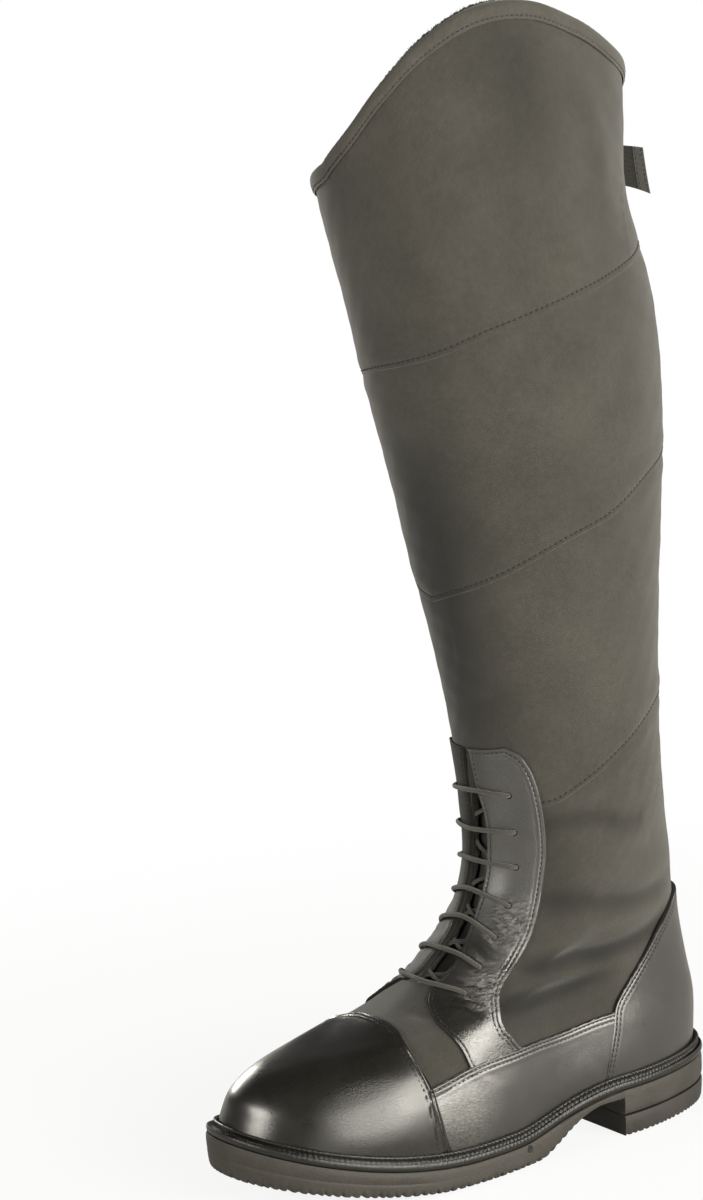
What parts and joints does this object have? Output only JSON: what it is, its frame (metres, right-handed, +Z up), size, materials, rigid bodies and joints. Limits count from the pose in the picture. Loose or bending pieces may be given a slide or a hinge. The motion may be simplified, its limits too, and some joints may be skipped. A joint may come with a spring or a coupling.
{
  "type": "winter riding boot",
  "caption": "Tall left winter riding boot with a fleece-lined textile shaft, leather toe cap, rand, lace stays and counter, front lacing, a back zip and a moulded sole with a low heel.",
  "frame": {"origin": "on the floor, under the middle of the boot's bounding box", "axes": "+Z up along the shaft, toe towards -Y, the foot's outer side towards +X"},
  "size_m": [0.1237, 0.2782, 0.5356],
  "materials": {
    "textile": "fine twill over fleece, matte",
    "leather": "smooth polished",
    "sole_rubber": "matte moulded",
    "welt_leather": "ribbed, stitched",
    "fleece": "deep pile",
    "binding": "folded and stitched",
    "lace_cord": "round braided",
    "zip_tape": "woven tape",
    "zip_coil": "moulded coil",
    "zip_metal": "dark lacquered"
  },
  "bodies": {
    "boot": {"collar_binding": "binding", "facing_lateral": "leather", "facing_medial": "leather", "heel_counter": "leather", "insole": "fleece", "lace": "lace_cord", "outsole": "sole_rubber", "rand_lateral": "leather", "rand_medial": "leather", "toe_cap": "leather", "tongue": "textile", "top_lift": "sole_rubber", "top_tab": "leather", "upper": "textile", "welt": "welt_leather", "zip_coil": "zip_coil", "zip_slider": "zip_metal", "zip_stop": "zip_metal", "zip_tape": "zip_tape"},
    "zip_pull": {"zip_pull": "zip_metal"}
  },
  "joints": [
    {"name": "zip_pull_swing", "type": "hinge", "parent": "boot", "child": "zip_pull", "pos_m": [-0.00015, 0.11878, 0.48272], "axis": [0.9992, 0.0398, -0.0033], "range_deg": [0, 150]}
  ]
}
